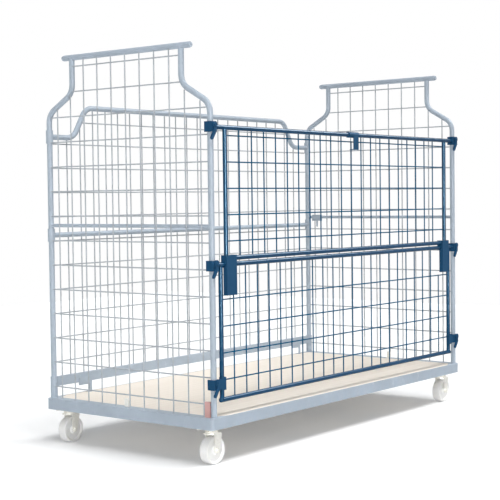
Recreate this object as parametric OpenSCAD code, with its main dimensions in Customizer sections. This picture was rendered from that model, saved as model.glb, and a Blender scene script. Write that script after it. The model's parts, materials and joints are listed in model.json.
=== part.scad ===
// Roll cage container: tubular mesh walls on a wheeled steel base with a plywood deck.
// The front wall is split in two. Its upper half folds down over the lower half.
// Origin: on the floor under the middle of the base. +X runs along the long side,
// the split front wall faces -Y and +Z points up.

/* [Overall] */
// Distance between the two end wall planes, post centre to post centre
cage_length = 1778; // [1400:2:2000]
// Distance between the front and rear posts of an end wall, centre to centre
cage_depth = 837; // [760:1:900]

/* [Base frame] */
// Height of the base rails
rail_height = 43; // [40:1:60]
// How far the base stands out beyond the post centres at the ends
end_overhang = 28; // [26:1:40]
// How far the base stands out beyond the post centres at front and rear
side_overhang = 14.6; // [13:0.1:20]
// Sheet thickness of the rails
rail_wall = 4; // [3:0.5:5]
// Radius of the upright corners of the base
base_corner_radius = 14; // [8:1:20]
// Width of the flange that the posts stand on
end_flange_width = 45; // [42:1:60]
// Width of the bottom flange all round
bottom_flange_width = 25; // [22:1:26]
// Width of the ledge that carries the deck
ledge_width = 24; // [15:1:30]
// Thickness of the plywood deck
deck_thickness = 12; // [9:1:18]
// Gap between the deck and the rails
deck_gap = 0.3; // [0.1:0.1:2]
// Length of a corner gusset along the base
gusset_length = 60; // [40:1:80]
// Depth of a corner gusset across the base
gusset_depth = 28; // [20:1:40]
// Width of a cross member under the deck
cross_width = 40; // [30:1:60]
// Distance of a cross member from the middle
cross_place = 290; // [200:5:450]
// Height of the pegs that the posts are pushed over
peg_height = 62; // [30:1:90]
// Height of the tabs on the end rails
tab_height = 32; // [20:1:42]
// Width of a tab
tab_width = 20; // [12:1:30]
// Place of the left tab along the end rail
tab_left = 17; // [-60:1:60]
// Place of the right tab along the end rail
tab_right = -62; // [-80:1:60]

/* [Casters] */
// Height from the floor to the top of the caster plate
caster_height = 138; // [128:1:150]
// Room over the wheel for the fork's crown, the race and the plate
wheel_room = 34; // [31:1:42]
// Tread width
wheel_width = 38; // [30:1:40]
// Distance from the swivel axis to the wheel axle
caster_trail = 4; // [2:1:12]
// Distance of the swivel axes from the end wall planes
caster_inset_x = 39; // [39:1:60]
// Distance of the swivel axes from the post centres across the base
caster_inset_y = 46.5; // [46.5:0.5:70]
// Axle and kingpin diameter
axle_d = 12; // [10:1:16]
// Sheet thickness of the fork
fork_wall = 3; // [2.5:0.5:4]
// Length of the caster plate
plate_length = 105; // [100:1:115]
// Width of the caster plate
plate_width = 85; // [80:1:95]
// Thickness of the caster plate
plate_wall = 3.5; // [3:0.5:5]
// Bolt spacing along the caster plate
bolt_span_x = 75; // [70:1:76]
// Bolt spacing across the caster plate
bolt_span_y = 60; // [55:1:62]
// Diameter of the plate bolts
bolt_d = 8; // [6:1:10]

/* [Tubes and wire] */
// Diameter of the posts and of the rear wall's top tube
post_d = 22; // [20:0.5:22]
// Diameter of an end wall's top bar
top_bar_d = 23; // [23:0.5:26]
// Diameter of an end wall's middle tube
end_mid_d = 14; // [12:0.5:18]
// Diameter of the rear wall's middle tube
rear_mid_d = 20; // [16:0.5:21]
// Diameter of the front panels' bars
bar_d = 18; // [16:0.5:20]
// Diameter of the front panels' stiles
stile_d = 17; // [14:0.5:17.5]
// Wall thickness of all tubes
tube_wall = 1.75; // [1.5:0.25:2.5]
// Diameter of the mesh wires
wire_d = 5; // [4:0.5:5]

/* [End walls] */
// Height of the top bar's centre above the deck
end_top = 1353; // [1340:1:1500]
// How far the top bar stands out beyond the necks
end_top_over = 42; // [20:1:60]
// Half the distance between the neck tubes
neck_half = 284; // [270:1:300]
// Height above the deck at which the shoulders begin
shoulder_start = 1102; // [1085:1:1110]
// Bend radius of the shoulders
shoulder_radius = 60; // [50:1:70]
// Height of the middle tube above the deck
end_mid = 694; // [650:1:730]
// Height of the lowest wire above the deck
end_wire_low = 47.6; // [40:0.1:60]
// Distance between level wires
end_wire_step = 97.7; // [96:0.1:98]
// Number of level wires
end_wire_rows = 14; // [14:1:14]
// Distance from the post centres to the outermost upright wires
upright_edge = 48.5; // [46:0.5:56]
// Number of upright wires
upright_count = 11; // [9:2:11]
// Sideways shift of the upright wires
upright_shift = 10; // [8:1:12]

/* [Rear wall] */
// Height of the raised top tube above the deck
rear_top = 1173; // [1160:1:1190]
// Height of the top tube's low ends above the deck
rear_low = 1048; // [1030:1:1060]
// Distance from the post centres to the centre of a rise
rear_rise_inset = 167; // [160:1:190]
// Height of the middle tube above the deck
rear_mid = 655; // [640:1:670]
// Lower edge of the bottom rail above the deck
rear_rail_low = 46; // [40:1:60]
// Height of the bottom rail
rear_rail_height = 37; // [30:1:45]
// Thickness of the bottom rail
rear_rail_wall = 20; // [15:1:25]
// Length of a strap foot under the bottom rail
foot_length = 72; // [50:1:80]
// Width of a strap foot's leg
foot_leg = 12; // [8:1:16]
// Distance from the left corner gusset to the left foot
foot_left = 50; // [4:1:100]
// Distance from the right foot to the right corner gusset
foot_right = 8; // [4:1:60]
// Distance from the post centres to the outermost upright wires
rear_upright_edge = 104.65; // [100:0.05:120]
// Number of upright wires
rear_upright_count = 22; // [20:2:22]
// Height of the highest level wire above the deck
rear_wire_top = 1112; // [1105:1:1120]
// Height of the lowest level wire above the deck
rear_wire_low = 142; // [135:0.5:145]
// Distance between the other level wires
rear_wire_step = 97.7; // [97:0.1:98]
// Number of the other level wires
rear_wire_rows = 10; // [10:1:10]

/* [Front lower panel] */
// Height of the top bar above the deck
lower_top = 553.5; // [545:0.5:560]
// Height of the bottom bar above the deck
lower_bottom = 59.5; // [50:0.5:70]
// Distance from the post centres to the stiles
lower_stile_inset = 47; // [44:0.5:52]
// Distance from the post centres to the middle of the outermost meshes
lower_edge = 126.7; // [122:0.1:136]
// Number of upright wires
lower_count = 22; // [22:1:22]
// Sideways shift of the upright wires
lower_shift = 8.7; // [5:0.1:10]
// How far the plugs in the bottom bar stand out
plug_rise = 5; // [2:0.5:8]
// Height of the highest level wire above the deck
lower_wire_top = 424.8; // [415:0.1:430]
// Distance between level wires
lower_wire_step = 98.2; // [90:0.1:105]
// Number of level wires
lower_wire_rows = 4; // [2:1:4]

/* [Front upper panel] */
// Height of the top bar above the deck
upper_top = 1052; // [1035:0.5:1060]
// Distance between the hinge bar and the bottom bar above it
bar_pitch = 22; // [20.5:0.5:26]
// Distance from the post centres to the stiles
upper_stile_inset = 81; // [78:0.5:84]
// Distance from the post centres to the middle of the outermost meshes
upper_edge = 135; // [133:0.5:150]
// Number of upright wires
upper_count = 21; // [21:1:21]
// Sideways shift of the upright wires
upper_shift = -32; // [-34:0.5:-20]
// Distance of the highest level wire below the top bar
upper_wire_drop = 28.5; // [25:0.5:40]
// Distance between level wires
upper_wire_step = 96.5; // [85:0.1:97]
// Number of level wires
upper_wire_rows = 5; // [3:1:5]

/* [Hinge channels] */
// Width of a channel
channel_width = 58; // [50:1:62]
// Height of a channel
channel_height = 147; // [120:1:150]
// How far a channel stands above the hinge bar
channel_rise = 33.5; // [31:0.5:36]
// Sheet thickness of a channel
channel_wall = 3; // [2:0.5:3.5]
// Distance from a bar's surface to the inside of the channel
channel_room = 4; // [3:0.5:5]

/* [Clamps and levers] */
// Height of a top or middle clamp
clamp_height = 38; // [34:1:44]
// How far a clamp reaches back past its post
clamp_tail = 6; // [3:0.5:9]
// How far the middle clamps sit below their bar
mid_clamp_drop = 2.5; // [0:0.5:4]
// Height of the lower clamps above the deck
low_clamp_place = 120; // [114:0.5:124]
// Height of the clip that holds the stile
clip_height = 47; // [38:1:50]
// How far the clip reaches back past the middle of the stile
clip_tail = 3.5; // [0:0.5:3.5]
// Sheet thickness of a clamp
clamp_wall = 3; // [2.5:0.5:5]
// Clearance between a clamp and its post
clamp_gap = 0.5; // [0.3:0.1:1]
// Thickness of a lever
lever_wall = 6; // [5:0.5:8]
// Radius of a lever's round boss
lever_boss = 12; // [10:0.5:13]
// Diameter of a lever's screw
lever_screw_d = 8; // [6:0.5:10]

/* [Hook] */
// Length of the sleeve that turns on the bar
hook_sleeve = 74; // [60:1:76]
// Width of the strap
hook_width = 37; // [30:1:40]
// Thickness of sleeve and strap
hook_wall = 3; // [2:0.5:4]
// Length of the strap below the bar's centre
hook_drop = 62; // [50:1:70]
// Distance of the sleeve's centre from the middle
hook_place = 37; // [35:0.5:42]
// Sideways shift of the strap on the sleeve
hook_shift = 10.5; // [0:0.5:14]

/* [Hidden] */

$fn = 48;
eps = 0.01;
run_fit = 0.05;              // radial clearance of a turning pin in its hole
touch = 0.05;                // gap between welded wires, kept so that they stay separate solids
paint_pale = [0.69, 0.76, 0.81];
paint_blue = [0.13, 0.30, 0.46];
wire_grey = [0.72, 0.74, 0.75];
zinc = [0.80, 0.80, 0.76];
nylon = [0.93, 0.93, 0.91];
plywood = [0.90, 0.85, 0.76];
red = [0.78, 0.45, 0.42];

deck_z = caster_height + rail_height;      // top of the deck and of the rails
end_x = cage_length / 2;                   // end wall planes
post_y = cage_depth / 2;                   // front and rear post rows
base_x = end_x + end_overhang;
base_y = post_y + side_overhang;
post_r = post_d / 2;
bar_r = bar_d / 2;
stile_r = stile_d / 2;
wire_r = wire_d / 2;
flange_x = base_x - end_flange_width;      // inner edge of the end rails' top flange
deck_low = deck_z - deck_thickness;
ledge_low = deck_low - rail_wall;
swivel_x = end_x - caster_inset_x;
swivel_y = post_y - caster_inset_y;
axle_r = axle_d / 2;
wheel_d = caster_height - wheel_room;
axle_z = wheel_d / 2;
wall_gap = 0.1;                            // posts, wires and sockets stand this clear of a seat

// Bent tubes: two equal bends joined by a straight run. A bend is a hair thicker than the
// straight tube that runs into it.
bend_swell = 0.04;
bend_lap = 0.3;

// Shoulder of an end wall
shoulder_angle = 60;
shoulder_step = post_y - neck_half;
shoulder_run = (shoulder_step - 2 * shoulder_radius * (1 - cos(shoulder_angle)))
    / sin(shoulder_angle);
shoulder_rise = 2 * shoulder_radius * sin(shoulder_angle) + shoulder_run * cos(shoulder_angle);
shoulder_end = shoulder_start + shoulder_rise;
low_bend_y = post_y - shoulder_radius;         // centre of the lower bend
high_bend_y = neck_half + shoulder_radius;     // centre of the upper bend
run_low_y = low_bend_y + shoulder_radius * cos(shoulder_angle);
run_low_z = shoulder_start + shoulder_radius * sin(shoulder_angle);
end_top_half = neck_half + end_top_over;       // half the length of the top bar

// Mesh of an end wall: the uprights pass outside the middle tube
upright_step = (cage_depth - 2 * upright_edge) / (upright_count - 1);
upright_out = end_mid_d / 2 + wire_r + touch;
level_out = upright_out - wire_d - touch;
end_weld_room = sqrt(post_r * post_r - pow(upright_out - wire_r, 2));

// Rise of the rear wall's top tube
rise_radius = 60;
rise_angle = 60;
rise_step = rear_top - rear_low;
rise_run = (rise_step - 2 * rise_radius * (1 - cos(rise_angle))) / sin(rise_angle);
rise_span = 2 * rise_radius * sin(rise_angle) + rise_run * cos(rise_angle);
rear_rise_place = end_x - rear_rise_inset;
rise_high_x = rear_rise_place - rise_span / 2;
rise_low_x = rear_rise_place + rise_span / 2;
rear_upright_step = (cage_length - 2 * rear_upright_edge) / (rear_upright_count - 1);
rear_out = rear_mid_d / 2 + wire_r + touch;    // the uprights pass behind the middle tube
rear_in = rear_out - wire_d - touch;
rear_weld_room = sqrt(post_r * post_r - pow(rear_out - wire_r, 2));
sleeve_wall = 3;
sleeve_gap = 0.15;
sleeve_r = post_r + sleeve_gap + sleeve_wall;
sleeve_height = 52;
socket_height = 85;
foot_sheet = 4;
foot_toe = 12;                                 // how far a foot's toe stands out beyond its leg
foot_span = foot_length + foot_toe;
foot_room = 2;                                 // the deck's notches are this much larger
gusset_x = flange_x - gusset_length;           // where the corner gussets begin
foot_x = [-gusset_x + foot_left, gusset_x - foot_right - foot_span];
foot_front = -rear_rail_wall / 2 - touch - foot_sheet;
foot_back = 5;

// Front panels: the uprights are welded to the inner side of the bars, the level wires run
// before them from stile to stile
front_y = -post_y;
hinge_z = deck_z + lower_top;
upper_low = lower_top + bar_pitch;
lower_stile_x = end_x - lower_stile_inset;
upper_stile_x = end_x - upper_stile_inset;
lower_step = (cage_length - 2 * lower_edge) / (lower_count - 1);
upper_step = (cage_length - 2 * upper_edge) / (upper_count - 1);
upright_in = bar_r + wire_r + touch;
level_in = upright_in - wire_d - touch;
stile_weld = sqrt(stile_r * stile_r - pow(level_in - wire_r, 2)) + touch;

// Clamp: a U of sheet, open to the rear, round a post
clamp_in = post_r + clamp_gap;
clamp_out = clamp_in + clamp_wall;
clamp_back = post_r + clamp_tail;
lever_gap = 0.5;
lever_pivot_x = 4;
lever_pivot_z = 7;
lever_rise = 2.5;                              // the low levers hang this much above the middle
clip_in = stile_r + touch;
clip_out = clip_in + clamp_wall;
lever_knee = [5, -15];
lever_tip = [-13, -41];
lever_arm_r = 6.5;

// Hinge channel
channel_inner_x = upper_stile_x - stile_r - 34.5;
channel_front = bar_r + channel_room + channel_wall;
channel_lug_back = bar_r + 3.5;
channel_lug_low = bar_r + 3.5;
channel_tail_back = 2;

// ---- helpers -------------------------------------------------------------------

module rod_x(x0, x1, y, z, r) {
    translate([x0, y, z]) rotate([0, 90, 0]) cylinder(r = r, h = x1 - x0);
}

module rod_y(x, y0, y1, z, r) {
    translate([x, y0, z]) rotate([-90, 0, 0]) cylinder(r = r, h = y1 - y0);
}

module rod_z(x, y, z0, z1, r) {
    translate([x, y, z0]) cylinder(r = r, h = z1 - z0);
}

// A box given by its two corners
module block(a, b) {
    translate(a) cube(b - a);
}

// Flat outline with square corners rounded in plan
module plate_outline(half_x, half_y, r) {
    square([2 * half_x, 2 * (half_y - r)], center = true);
    square([2 * (half_x - r), 2 * half_y], center = true);
    for (sx = [-1, 1], sy = [-1, 1])
        translate([sx * (half_x - r), sy * (half_y - r)]) circle(r);
}

// A bar between two points of a plane, a hair narrower than the rounds at its ends
module flat_bar(a, b, r) {
    d = b - a;
    translate(a) rotate(atan2(d[1], d[0])) translate([0, 0.1 - r])
        square([norm(d), 2 * (r - 0.1)]);
}

// ---- base ----------------------------------------------------------------------

// Ring between the base outline and the same outline drawn in by w
module base_ring(w, z0, z1) {
    translate([0, 0, z0]) linear_extrude(z1 - z0) difference() {
        plate_outline(base_x, base_y, base_corner_radius);
        plate_outline(base_x - w, base_y - w, max(base_corner_radius - w, 1));
    }
}

module end_part(side) {
    intersection() {
        children();
        block([side > 0 ? flange_x : -base_x - 1, -base_y - 1, 0],
              [side > 0 ? base_x + 1 : -flange_x, base_y + 1, deck_z + 1]);
    }
}

// End rail: outer web, bottom flange, top flange for the posts, and a ledge for the deck
module end_rail(side) {
    color(paint_pale) {
        end_part(side) base_ring(rail_wall, caster_height, deck_z);
        end_part(side) base_ring(bottom_flange_width, caster_height, caster_height + rail_wall);
        end_part(side) translate([0, 0, deck_z - rail_wall]) linear_extrude(rail_wall)
            plate_outline(base_x, base_y, base_corner_radius);
        block([side > 0 ? flange_x : -flange_x - rail_wall, -base_y + rail_wall, ledge_low],
              [side > 0 ? flange_x + rail_wall : -flange_x, base_y - rail_wall, deck_z]);
        block([side > 0 ? flange_x - ledge_width : -flange_x, -base_y + rail_wall + ledge_width,
               ledge_low],
              [side > 0 ? flange_x : -flange_x + ledge_width, base_y - rail_wall - ledge_width,
               deck_low]);
    }
}

// Side rail: outer web, bottom flange and deck ledge, between the end rails
module side_rail(side) {
    length_half = flange_x - touch;
    outer = side * base_y;
    color(paint_pale)
        for (p = [[rail_wall, caster_height, deck_z],
                  [bottom_flange_width, caster_height, caster_height + rail_wall],
                  [rail_wall + ledge_width, ledge_low, deck_low]])
            block([-length_half, min(outer, outer - side * p[0]), p[1]],
                  [length_half, max(outer, outer - side * p[0]), p[2]]);
}

// Plywood sheet. Its corners are cut off and its rear edge is notched round the strap feet
module deck() {
    hx = flange_x - deck_gap;
    hy = base_y - rail_wall - deck_gap;
    cx = hx - gusset_length;
    cy = hy - gusset_depth;
    color(plywood) difference() {
        translate([0, 0, deck_low + touch]) linear_extrude(deck_thickness - touch)
            polygon([[-cx, -hy], [cx, -hy], [hx, -cy], [hx, cy],
                     [cx, hy], [-cx, hy], [-hx, cy], [-hx, -cy]]);
        for (x = foot_x)
            block([x + foot_length - foot_leg - foot_room, post_y + foot_front - foot_room,
                   deck_low - 1],
                  [x + foot_span + foot_room, hy + 1, deck_z + 1]);
    }
}

// Triangles of sheet that close the four corners of the deck
module corner_gussets() {
    hx = flange_x - touch;
    hy = base_y - rail_wall - touch;
    color(paint_pale) for (sx = [-1, 1], sy = [-1, 1])
        translate([0, 0, deck_z - rail_wall]) linear_extrude(rail_wall)
            polygon([[sx * hx, sy * hy], [sx * (hx - gusset_length + 2), sy * hy],
                     [sx * hx, sy * (hy - gusset_depth + 1)]]);
}

// Channel under the deck, open downwards
module cross_member(side) {
    reach = base_y - rail_wall - touch;
    low = caster_height + rail_wall + touch;
    color(paint_pale) translate([side * cross_place, 0, 0]) difference() {
        block([-cross_width / 2, -reach, low], [cross_width / 2, reach, ledge_low - touch]);
        block([-cross_width / 2 + rail_wall, -reach - 1, low - 1],
              [cross_width / 2 - rail_wall, reach + 1, ledge_low - touch - rail_wall]);
    }
}

// Sheets in the base corners that the casters are bolted to
module caster_mounts() {
    inner_x = swivel_x - plate_length / 2 - 10;
    inner_y = swivel_y - plate_width / 2 - 10;
    outer_x = base_x - bottom_flange_width - touch;
    outer_y = base_y - bottom_flange_width - touch;
    color(paint_pale) for (sx = [-1, 1], sy = [-1, 1]) difference() {
        block([min(sx * inner_x, sx * outer_x), min(sy * inner_y, sy * outer_y), caster_height],
              [max(sx * inner_x, sx * outer_x), max(sy * inner_y, sy * outer_y),
               caster_height + rail_wall]);
        plate_holes(sx * swivel_x, sy * swivel_y, caster_height - 1, caster_height + rail_wall + 1);
    }
}

module plate_holes(x, y, z0, z1) {
    for (dx = [-1, 1], dy = [-1, 1])
        rod_z(x + dx * bolt_span_x / 2, y + dy * bolt_span_y / 2, z0, z1, bolt_d / 2 + 0.25);
}

// Hexagon bolts with nuts through plate and mount
module caster_bolts() {
    head = bolt_d * 0.65;
    low = caster_height - plate_wall;
    high = caster_height + rail_wall;
    color(zinc) for (sx = [-1, 1], sy = [-1, 1], dx = [-1, 1], dy = [-1, 1])
        translate([sx * swivel_x + dx * bolt_span_x / 2, sy * swivel_y + dy * bolt_span_y / 2, 0]) {
            rod_z(0, 0, low - head, high + head + 2, bolt_d / 2);
            translate([0, 0, low - head - touch]) cylinder(r = bolt_d * 0.92, h = head, $fn = 6);
            translate([0, 0, high + touch]) cylinder(r = bolt_d * 0.92, h = head, $fn = 6);
        }
}

// Round pegs on the end rails that the hollow posts are pushed over
module post_pegs() {
    color(zinc) for (sx = [-1, 1], sy = [-1, 1])
        rod_z(sx * end_x, sy * post_y, deck_z + touch, deck_z + peg_height, post_r - tube_wall - 0.2);
}

// Angle tabs that stand on the end rails inside the mesh
module rail_tabs() {
    tab_half = tab_width / 2;
    back = level_out - wire_r - touch;
    color(zinc) for (s = [-1, 1])
        translate([s * end_x, s > 0 ? tab_right : tab_left, deck_z + touch])
            mirror([s > 0 ? 1 : 0, 0, 0]) {
                block([-back, -tab_half, 0], [-back + rail_wall, tab_half, tab_height]);
                block([-back, -tab_half, 0], [-back + 3.5 * rail_wall, tab_half, rail_wall]);
            }
}

// ---- casters -------------------------------------------------------------------

crown_z = caster_height - 25;          // underside of the fork's crown
race_z = caster_height - 11;           // joint between the two halves of the race
crown_r = 31;
hub_half = wheel_width / 2 + 1;
cheek_in = hub_half + 1;
cheek_out = cheek_in + fork_wall;

module at_caster(sx, sy) {
    translate([sx * swivel_x, sy * swivel_y, 0]) children();
}

// Top plate with the upper half of the race and the kingpin
module caster_plate(sx, sy) {
    color(zinc) at_caster(sx, sy) {
        difference() {
            translate([0, 0, caster_height - plate_wall - touch]) linear_extrude(plate_wall)
                plate_outline(plate_length / 2, plate_width / 2, 8);
            plate_holes(0, 0, caster_height - plate_wall - 1, caster_height + 1);
        }
        rotate_extrude() polygon([
            [0, race_z + 0.3], [21, race_z + 0.3], [25, race_z + 3],
            [25, caster_height - plate_wall - touch + eps], [0, caster_height - plate_wall - touch + eps]]);
        rod_z(0, 0, crown_z - 4, race_z + 1, axle_r);
        rod_z(0, 0, crown_z - 4, crown_z - 0.3, axle_r + 3);
    }
}

// Outline of a fork cheek, seen from the side: wide at the crown, round at the axle
module cheek_outline() {
    r = axle_r + 5;
    polygon([[caster_trail - r, axle_z], [-crown_r + 23, crown_z + 2], [crown_r - 1, crown_z + 2],
             [crown_r, crown_z - 8], [caster_trail + r, axle_z]]);
    translate([caster_trail, axle_z]) circle(r);
}

// Fork: round crown with the lower race and two cheeks
module caster_fork(sx, sy) {
    color(zinc) at_caster(sx, sy) difference() {
        union() {
            intersection() {
                rod_z(0, 0, crown_z, crown_z + fork_wall + 1, crown_r);
                block([-crown_r, -cheek_out, crown_z], [crown_r, cheek_out, race_z]);
            }
            rotate_extrude() polygon([[0, crown_z + 1], [23, crown_z + 1], [25, race_z - 4],
                                      [20, race_z], [0, race_z]]);
            for (s = [-1, 1])
                translate([0, s > 0 ? cheek_out : -cheek_in, 0]) rotate([90, 0, 0])
                    linear_extrude(fork_wall) cheek_outline();
        }
        rod_z(0, 0, crown_z - 1, race_z + 1, axle_r + run_fit);
        rod_y(caster_trail, -cheek_out - 1, cheek_out + 1, axle_z, axle_r + run_fit);
    }
}

// Axle bolt with head and nut
module caster_axle(sx, sy) {
    color(zinc) at_caster(sx, sy) translate([caster_trail, 0, axle_z]) {
        rotate([90, 0, 0]) translate([0, 0, -cheek_out - 7])
            cylinder(r = axle_r, h = 2 * cheek_out + 14);
        for (s = [-1, 1]) rotate([90, 0, 0])
            translate([0, 0, s > 0 ? cheek_out + touch : -cheek_out - touch - 6])
                cylinder(r = axle_r * 1.55, h = 6, $fn = 6);
    }
}

// Moulded wheel: crowned tread, recessed sides and a hub
module caster_wheel(sx, sy) {
    w = wheel_width / 2;
    r = wheel_d / 2;
    rim = r - 9;
    hub = axle_r + 9;
    color(nylon) at_caster(sx, sy) translate([caster_trail, 0, axle_z]) rotate([90, 0, 0])
        rotate_extrude($fn = 96) polygon([
            [axle_r + run_fit, -hub_half], [hub, -hub_half], [hub + 2, -w + 6], [rim - 4, -w + 6],
            [rim, -w + 1], [rim + 2, -w], [r - 3, -w], [r - 0.8, -w + 1.2], [r, -w + 4],
            [r, w - 4], [r - 0.8, w - 1.2], [r - 3, w], [rim + 2, w], [rim, w - 1],
            [rim - 4, w - 6], [hub + 2, w - 6], [hub, hub_half], [axle_r + run_fit, hub_half]]);
}

// ---- end walls -----------------------------------------------------------------

// Bent tube in the Y-Z plane: post, shoulder and neck, drawn for +Y
module wall_leg(r, foot) {
    rod_z(0, post_y, foot, shoulder_start + bend_lap, r);
    translate([0, low_bend_y, shoulder_start]) bend(shoulder_radius, r, 0, shoulder_angle);
    translate([0, run_low_y, run_low_z]) rotate([shoulder_angle, 0, 0])
        translate([0, 0, -bend_lap]) cylinder(r = r, h = shoulder_run + 2 * bend_lap);
    translate([0, high_bend_y, shoulder_end]) bend(shoulder_radius, r, 180, 180 + shoulder_angle);
    rod_z(0, neck_half, shoulder_end - bend_lap, end_top, r);
}

// Elbow round the X axis. Angles are counted from +Y towards +Z
module bend(big, r, from, to) {
    rotate([from, 0, 0]) rotate([90, 0, 90]) rotate_extrude(angle = to - from, $fn = 96)
        translate([big, 0]) circle(r + bend_swell, $fn = 48);
}

module wall_legs(r, foot) {
    wall_leg(r, foot);
    mirror([0, 1, 0]) wall_leg(r, foot);
}

module end_wall_frame(side) {
    color(paint_pale) translate([side * end_x, 0, deck_z]) difference() {
        union() {
            wall_legs(post_r, wall_gap);
            rod_y(0, -end_top_half, end_top_half, end_top, top_bar_d / 2);
            rod_y(0, -post_y + post_r - 2.5, post_y - post_r + 2.5, end_mid, end_mid_d / 2);
        }
        wall_legs(post_r - tube_wall, -1);
        rod_y(0, -end_top_half - 1, end_top_half + 1, end_top, top_bar_d / 2 - tube_wall);
    }
}

// How far the side of a bent tube has moved across at the distance t along it. The tube
// bends across by step over the length span; off is the side's distance from its centre line.
function bent_side(t, span, step, big, a, off) =
    t <= 0 ? off
    : t <= (big - off) * sin(a) ? big - sqrt(pow(big - off, 2) - t * t)
    : t <= span - (big + off) * sin(a)
        ? big - (big - off) * cos(a) + (t - (big - off) * sin(a)) * tan(a)
    : t <= span ? step - big + sqrt(pow(big + off, 2) - pow(span - t, 2))
    : step + off;

// The same the other way round: the distance along the tube at which its side has moved by c
function bent_length(c, span, step, big, a, off) =
    c <= off ? 0
    : c <= big - (big - off) * cos(a) ? sqrt(pow(big - off, 2) - pow(big - c, 2))
    : c <= step - big + (big + off) * cos(a)
        ? (big - off) * sin(a) + (c - big + (big - off) * cos(a)) / tan(a)
    : c <= step + off ? span - sqrt(pow(big + off, 2) - pow(c - step + big, 2))
    : span;

// Height above the deck at which an upright wire of an end wall meets the tube above it
function upright_top(y) =
    y + wire_r < neck_half - post_r
        ? end_top - sqrt(pow(top_bar_d / 2, 2) - pow(upright_out - wire_r, 2))
    : shoulder_start + bent_length(post_y - y - wire_r, shoulder_rise, shoulder_step,
                                   shoulder_radius, shoulder_angle, end_weld_room + bend_swell);

// Half the length of a level wire of an end wall between the tubes at height z above the deck
function level_half(z) =
    post_y - bent_side(z + wire_r - shoulder_start, shoulder_rise, shoulder_step,
                       shoulder_radius, shoulder_angle, post_r + bend_swell);

// A sleeve or socket of the rear wall is round the rear post at height z above the deck
function in_sleeve(z) =
    z < socket_height + wire_r
    || abs(z - rear_mid) < sleeve_height / 2 + wire_r
    || abs(z - rear_low) < sleeve_height / 2 + wire_r;

module end_wall_mesh(side) {
    color(wire_grey) translate([side * end_x, 0, deck_z]) {
        for (i = [0 : upright_count - 1]) {
            y = (i - (upright_count - 1) / 2) * upright_step + side * upright_shift;
            rod_z(side * upright_out, y, wall_gap, upright_top(abs(y)) - wall_gap, wire_r);
        }
        for (i = [0 : end_wire_rows - 1]) {
            z = end_wire_low + i * end_wire_step;
            half = level_half(z) - wall_gap;
            rear = in_sleeve(z) ? post_y - sleeve_r - wall_gap : half;
            rod_y(side * level_out, -half, rear, z, wire_r);
        }
    }
}

// Plugs in the open ends of the top bars
module top_bar_caps() {
    r = top_bar_d / 2;
    color(paint_pale) for (sx = [-1, 1], sy = [-1, 1])
        translate([sx * end_x, sy * (end_top_half + touch), deck_z + end_top])
            rotate([-sy * 90, 0, 0]) {
                cylinder(r = r - tube_wall - 0.2, h = 12, center = true);
                cylinder(r1 = r, r2 = r - 1.2, h = 3);
            }
}

pin_height = 57;

// Red clip over the lowest wire beside the front post of the left end wall
module wall_pin() {
    room = upright_edge - upright_shift - wire_r - post_r;
    half = room / 2 - 1;
    outer = level_out + wire_r + 3;
    groove = wire_r + run_fit;
    color(red) translate([-end_x, -post_y + post_r + room / 2, deck_z + touch]) {
        difference() {
            block([-outer, -half, 0], [-outer + 9, half, pin_height]);
            rod_y(-level_out, -half - 1, half + 1, end_wire_low - touch, groove);
            block([-level_out, -half - 1, end_wire_low - touch - groove],
                  [0, half + 1, end_wire_low - touch + groove]);
        }
        block([-outer, -half + 3, 0], [end_flange_width - end_overhang - 1, half - 3, 8]);
    }
}

latch_inset = 94;                      // from the post's centre to the saddle's far end
latch_length = 60;

// Saddle with a hanging peg on the right end wall's middle tube
module wall_latch() {
    r = end_mid_d / 2;
    y0 = post_y - latch_inset;
    y1 = y0 + latch_length;
    mid = (y0 + y1) / 2;
    inner = -r - 3;
    color(paint_pale) translate([end_x, 0, deck_z + end_mid]) {
        block([inner, y0, -19], [-r - touch, y1, 12]);
        block([inner, y0 + 8, r + touch], [level_out - wire_r - touch, y1 - 8, 12]);
        rod_z(inner + 1.5, mid, -49 + 4.5, -18, 4.5);
        translate([inner + 1.5, mid, -49 + 4.5]) sphere(4.5);
    }
}

// ---- rear wall -----------------------------------------------------------------

// End of the top tube, drawn for +X: the rise and the low straight end
module rear_top_end(r) {
    translate([rise_high_x, 0, rear_top - rise_radius]) rotate([0, 0, -90])
        bend(rise_radius, r, 90 - rise_angle, 90);
    translate([rise_high_x + rise_radius * sin(rise_angle), 0,
               rear_top - rise_radius * (1 - cos(rise_angle))])
        rotate([0, 90 + rise_angle, 0])
            translate([0, 0, -bend_lap]) cylinder(r = r, h = rise_run + 2 * bend_lap);
    translate([rise_low_x, 0, rear_low + rise_radius]) rotate([0, 0, -90])
        bend(rise_radius, r, 270 - rise_angle, 270);
    rod_x(rise_low_x - bend_lap, end_x, 0, rear_low, r);
}

module rear_top_tube(r) {
    rod_x(-rise_high_x - bend_lap, rise_high_x + bend_lap, 0, rear_top, r);
    both_ways() rear_top_end(r);
}

module both_ways() {
    children();
    mirror([1, 0, 0]) children();
}

module rear_wall_frame() {
    color(paint_pale) translate([0, post_y, deck_z]) difference() {
        union() {
            rear_top_tube(post_r);
            rod_x(-end_x, end_x, 0, rear_mid, rear_mid_d / 2);
            both_ways() {
                rod_z(end_x, 0, rear_low - sleeve_height / 2, rear_low + sleeve_height / 2, sleeve_r);
                rod_z(end_x, 0, rear_mid - sleeve_height / 2, rear_mid + sleeve_height / 2, sleeve_r);
            }
        }
        rear_top_tube(post_r - tube_wall);
        both_ways() rod_z(end_x, 0, rear_mid - sleeve_height, rear_low + sleeve_height,
                          post_r + sleeve_gap);
        rod_x(-end_x, end_x, 0, rear_mid, rear_mid_d / 2 - tube_wall);
    }
}

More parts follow.
